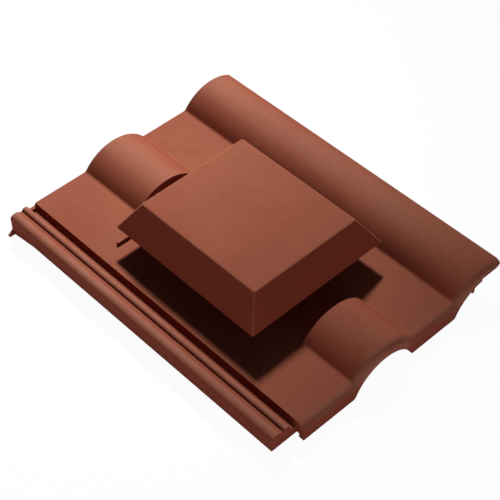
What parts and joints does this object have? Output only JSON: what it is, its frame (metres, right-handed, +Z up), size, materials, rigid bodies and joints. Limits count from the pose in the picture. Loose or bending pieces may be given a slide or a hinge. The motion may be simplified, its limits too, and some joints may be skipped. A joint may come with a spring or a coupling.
{
  "type": "roof tile vent",
  "caption": "Double-roll interlocking roof tile with a splayed, flat-topped ventilation hood over an air opening in its middle.",
  "frame": {"origin": "under the middle of the tile, on the level surface that its tail lip and hanging lugs rest on", "axes": "+Y from the tail to the head, +Z up, +X from the underlock strip to the overlock edge"},
  "size_m": [0.3334, 0.42, 0.0823],
  "materials": {
    "tile_plastic": "fine grained, matt",
    "cowl_plastic": "fine grained, matt",
    "grille_plastic": "matt black",
    "screw_steel": "bright zinc"
  },
  "bodies": {
    "root": {"base_tile": "tile_plastic", "vent_cowl": "cowl_plastic", "insect_grille": "grille_plastic", "cowl_screws": "screw_steel"}
  },
  "joints": []
}
